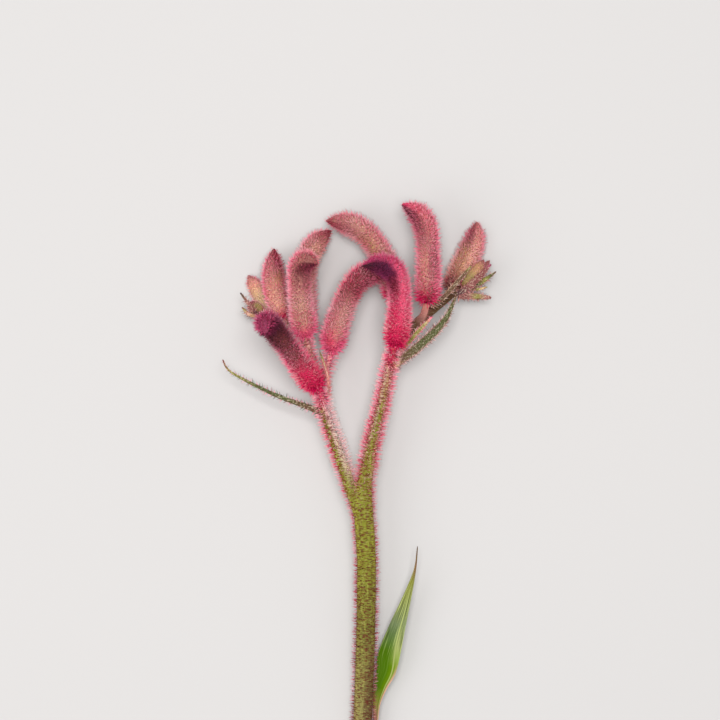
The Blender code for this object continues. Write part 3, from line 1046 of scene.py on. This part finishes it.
# Bracts and leaf. A blade is drawn out straight as a thin lens, folded, and bent along its midrib.
blades = {
    "leaf_low": {
        "route": [
            (6.2, -86, 4.8, 1.8), (6.4, -79.8, 4.6, 2.6), (6.9, -73.7, 4.2, 4.2), (8.6, -67.6, 3.8, 7.4),
            (11, -61.9, 3.6, 10.4), (12.4, -55.4, 3.8, 11.8), (15.2, -44.8, 5, 8.8),
            (17.6, -36.4, 6.4, 5.8), (20.2, -26.6, 8, 2.4), (21.4, -20.6, 8.8, 1), (22, -13.6, 9.4, 0.5),
        ],
        "fold": 35, "roll": -25,
    },
    "bract_left_long": {
        "route": [
            (-14, 37.4, 14.4, 3), (-16.2, 38.6, 14.8, 2.8), (-22.4, 40.9, 15, 2.1),
            (-30.2, 43.7, 15, 1.7), (-38.4, 47.4, 14.4, 1.4), (-47, 51.9, 13.4, 1), (-50.6, 54.6, 13, 0.8),
            (-52.2, 57.8, 13.2, 0.6),
        ],
        "downy": 1.2,
        "paints": "bark bark grove grove moss umber", "margin": "grove", "hair": "pink",
    },
    "bract_left_small": {
        "route": [
            (-12.7, 44, 15.8, 0.8), (-12, 46, 17, 0.8), (-12.2, 51, 17.6, 0.9),
            (-13.4, 56, 18, 0.8), (-15.2, 60.8, 18.4, 0.5),
        ],
        "fold": 15, "downy": 3,
        "paints": "salmon brown salmon tan moss grove", "margin": "salmon", "hair": "pink",
    },
    "bract_right_long": {
        "route": [
            (12.8, 55.2, 17.2, 2.5), (15, 57.3, 18.2, 3.1), (20.9, 61.8, 18.6, 3.8), (27.5, 67.7, 18, 3.5),
            (32.4, 73.3, 17, 2.5), (35.3, 79.3, 15.6, 1.4), (36.6, 82.4, 15, 0.7),
        ],
        "thickness": 0.65, "downy": 2.2,
        "paints": "khaki bark grove grove grove bark", "margin": "brown", "hair": "shell",
    },
    "bract_right_over": {
        "route": [
            (26.8, 77.6, 16.6, 1), (31.6, 81.4, 16, 1.9), (36.2, 86.6, 14.8, 1.8),
            (40.4, 91.4, 13.4, 1.2), (42.2, 93.4, 12.8, 0.6),
        ],
        "downy": 0.7,
        "paints": "umber bark bark bark bark moss", "margin": "fawn", "hair": "shell",
    },
    "bract_right_under": {
        "route": [
            (13.8, 59.2, 17.2, 1.4), (16.2, 61.8, 16.8, 1.6), (20.2, 66.6, 16.6, 1.8),
            (24.2, 71, 15.8, 1.5), (27.2, 74, 15, 0.7),
        ],
        "downy": 2,
        "paints": "pink blush moss moss husk rose", "margin": "rose", "hair": "shell",
    },
}
bladeShape = {
    "fold": 20, "roll": 0, "thickness": 0.6,
    "steps": 6,  # sections from one point of the route to the next
    "corners": 12,
    "thinner": 0.86,  # from section to section, over the last ones
    "thinSections": 4,
    "point": 0.4,  # how far the last section is drawn out to the tip
}
bladePlaces = (0.0, 0.12, 0.35, 0.6, 0.85, 1.0)


def growBlade(name, spec):
    spec = {**bladeShape, **spec}
    route = smoothRoute(spec["route"], spec["steps"])
    stretch = np.r_[0, np.cumsum(np.linalg.norm(np.diff(route[:, :3], axis=0), axis=1))]
    blade = startSection(name, spec["corners"], 0.5)
    editAll()
    resize((1, route[0, 3], spec["thickness"]))
    for step in range(1, len(route)):
        drawOut(((stretch[step] - stretch[step - 1]) * mm, 0, 0))
        thinner = spec["thinner"] if step >= len(route) - spec["thinSections"] else 1
        resize((1, route[step, 3] / route[step - 1, 3], thinner))
    drawOut((spec["point"] * mm, 0, 0))
    closeTip()
    leaveEdit()
    applyModifier(blade, "SUBSURF", levels=1, render_levels=1)
    straight = placesOf(blade) / mm
    widths = np.interp(straight[:, 0], stretch, route[:, 3]) / 2
    along = np.clip(straight[:, 0] / stretch[-1], 0, 1)
    side, above = np.clip(-straight[:, 1] / widths, -1, 1), straight[:, 2]
    fold, roll = math.radians(spec["fold"]), math.radians(spec["roll"])
    flat, up = straight[:, 1] * math.cos(fold), above + np.abs(straight[:, 1]) * math.sin(fold)
    turned = np.stack([
        straight[:, 0],
        flat * math.cos(roll) - up * math.sin(roll),
        flat * math.sin(roll) + up * math.cos(roll),
    ], 1)
    blade.data.vertices.foreach_set("co", (turned * mm).ravel())
    bendAlong(blade, route)
    ways = unit(np.gradient(route[:, :3], axis=0))
    rim = smoothStep((np.abs(side) - 0.7) / 0.3)
    setMarks(
        blade, grain=readRun(along, stretch / stretch[-1], ways), along=along, inner=side,
        flank=np.clip(above / (spec["thickness"] / 2), -1, 1), top=np.ones(len(along)),
        thick=(0.3 + 3.5 * rim) * (1 - 0.6 * smoothStep((along - 0.7) / 0.3)),
        long=1 - 0.4 * smoothStep((along - 0.6) / 0.4),
    )
    return blade


# paints of the leaf's left and right half, foot to tip
leafPaints = [
    ((0, 0.08, 0.16, 0.24, 0.44, 0.58, 0.82, 0.89, 1),
     "umber brown moss leafGreen leafGreen leafGrey moss umber soot"),
    ((0, 0.08, 0.16, 0.24, 0.36, 0.48, 0.6, 0.82, 0.89, 1),
     "umber brown moss leafBright leafBright leafPale leafDull moss umber soot"),
]


def leafFinish():
    finish, tree = newFinish("leaf_skin", 0.6, 0.03)
    along, side = readMarks(tree, "along inner")
    halves = [colourRun(tree, along, *half) for half in leafPaints]
    colour = blend(tree, between(tree, side, -0.3, 0.5), *halves)
    where = put(tree, "CombineXYZ", {0: times(tree, side, 14), 1: times(tree, along, 5)}).outputs[0]
    veinsAndSheen = noise(tree, 1, 3, where)
    # in the upper part the pale streaks are a painted sheen, the dark ones the leaf's veins
    grey = between(tree, along, 0.35, 0.58, 0.07, 0.9)
    colour = wash(tree, colour, "leafPale", veinsAndSheen, 0.5, 0.68, 1, grey)
    colour = wash(tree, colour, "grove", veinsAndSheen, 0.5, 0.34, 1, grey)
    offRib = away(tree, side, between(tree, along, 0.55, 0.28, 0.15, 0.5))
    colour = wash(tree, colour, "leafPale", offRib, 0.14, 0.03, 0.9, between(tree, along, 0.85, 0.7))
    colour = wash(tree, colour, "fawn", side, 0.6, 0.85, 1, between(tree, along, 0.42, 0.28))
    colour = wash(tree, colour, "moss", side, -0.85, -1, 0.5, lift=0.5)
    bumpFrom(tree, veinsAndSheen, 0.0001)
    return painted(finish, colour)


def bladeFinish(name, spec):
    finish, tree = newFinish(name + "_skin", 0.6, 0.2)
    along, side = readMarks(tree, "along inner")
    colour = colourRun(tree, along, bladePlaces, spec["paints"], 1.1)
    colour = wash(tree, colour, spec["margin"], away(tree, side, 0), 0.68, 1, 0.8)
    grain = noise(tree, 1800, 3)
    colour = wash(tree, colour, "umber", grain, 0.52, 0.62, 0.5, lift=0.5)
    colour = wash(tree, colour, "parchment", grain, 0.47, 0.38, 0.5, lift=0.8)
    bumpFrom(tree, grain, 0.0002)
    return painted(finish, colour)


def bladeHairFinish(name, spec):
    finish, tree = newFinish(name + "_hairs", 0.65)
    along, side, strand = readMarks(tree, "along inner strand")
    hair, margin = daylight(spec["hair"]), daylight(spec["margin"], 1.2)
    colour = blend(tree, between(tree, strand, 0.4, 0.6), hair, margin)
    face = between(tree, away(tree, side, 0), 0.9, 0.5, 0, 0.7)
    colour = blend(tree, face, colour, colourRun(tree, along, bladePlaces, spec["paints"], 1.2))
    return painted(finish, colour)


def makeBlade(name, spec, slot, seed, *nodes):
    blade = growBlade(name + "_blade", spec)
    if name == "leaf_low":
        finishPiece(blade, leafFinish(), slot, *nodes)
        return
    downy = spec["downy"]  # how many hairs it has
    coats = [("down", 1.5 * downy, 1.0, 16, 30), ("under", 1.2 * downy, 0.6, 45, 40)]
    hairCoat = growCoat(blade, name + "_hairs", coats, seed)
    finishPiece(hairCoat, bladeHairFinish(name, spec), slot)
    finishPiece(blade, bladeFinish(name, spec), slot, *nodes)


for seed, (name, spec) in enumerate(blades.items(), 50):
    makeBlade(name, spec, "leaf_skin" if name == "leaf_low" else "bract_skin", seed, name)
print("bracts and leaf ready")

# Growing tips: the youngest buds with the small bracts that wrap them.
tips = {
    "growing_tip_left": {
        "buds": [((-37.6, 75.9, 7), 142, 0, 6.4, 1.8, "moss husk husk husk brown brown")],
        "bracts": [
            ([(-38.6, 74.4, 9.2, 1.2), (-41.4, 77.8, 10.2, 1.4), (-45.6, 83.3, 9.8, 0.7)],
             "bark night umber brown bark night"),
            ([(-38.8, 74.6, 8.2, 1.2), (-42.4, 75.2, 8.8, 1.5), (-45, 77.8, 9, 0.7)],
             "tan tan khaki tan moss umber"),
        ],
    },
    "growing_tip_right": {
        "buds": [
            ((39.4, 85.6, 10.2), 49, 0, 13, 1.7, "moss husk husk khaki khaki brown"),
            ((40.2, 85.4, 8.6), 44, -4, 14, 1.5, "umber brown brown tan tan brown"),
        ],
        "bracts": [
            ([(40.4, 84.6, 10.8, 1.6), (46, 87.4, 10.6, 2.2), (51.8, 91.4, 9.8, 0.6)],
             "umber brown grove moss grove bark"),
            ([(37, 82.2, 10, 2.4), (43.2, 82.2, 9.6, 2.6), (49.9, 81.6, 8.8, 1.4)],
             "umber umber brown moss brown umber"),
            ([(36.6, 82.8, 11.4, 2), (41.8, 86, 12.2, 2.8), (49.8, 94.2, 11.4, 1.2)],
             "soot soot umber umber umber plum"),
            ([(40.4, 86, 9.6, 1.2), (44.4, 84.8, 10.4, 1.3), (48.4, 85.6, 10.8, 0.5)],
             "umber brown moss moss khaki moss"),
        ],
    },
}
bractLook = {"fold": 15, "downy": 1.6, "margin": "brown", "hair": "blush"}


def makeTip(name, tip, seed):
    nodes = [name]
    for k, (*growth, skinPaints) in enumerate(tip["buds"]):
        spec = grown(
            *growth, 0, 4, 4, 0.6, skinPaints, skinPaints, "rose rose pink pink rose rose",
            wide=1.45, coat=0.5,
        )
        coats = [("guard", 5, 0.55, 24, 30), ("under", 4, 0.6, 45, 40)]
        makeTube(f"{name}_bud_{k + 1}", spec, coats, seed + k, "bud_wool", *nodes)
        nodes = []
    for k, (route, bractPaints) in enumerate(tip["bracts"]):
        spec = {"route": route, "paints": bractPaints, **bractLook}
        makeBlade(f"{name}_bract_{k + 1}", spec, "bract_skin", seed + 5 + k)


for seed, (name, tip) in enumerate(tips.items()):
    makeTip(name, tip, 70 + 10 * seed)
print("growing tips ready")
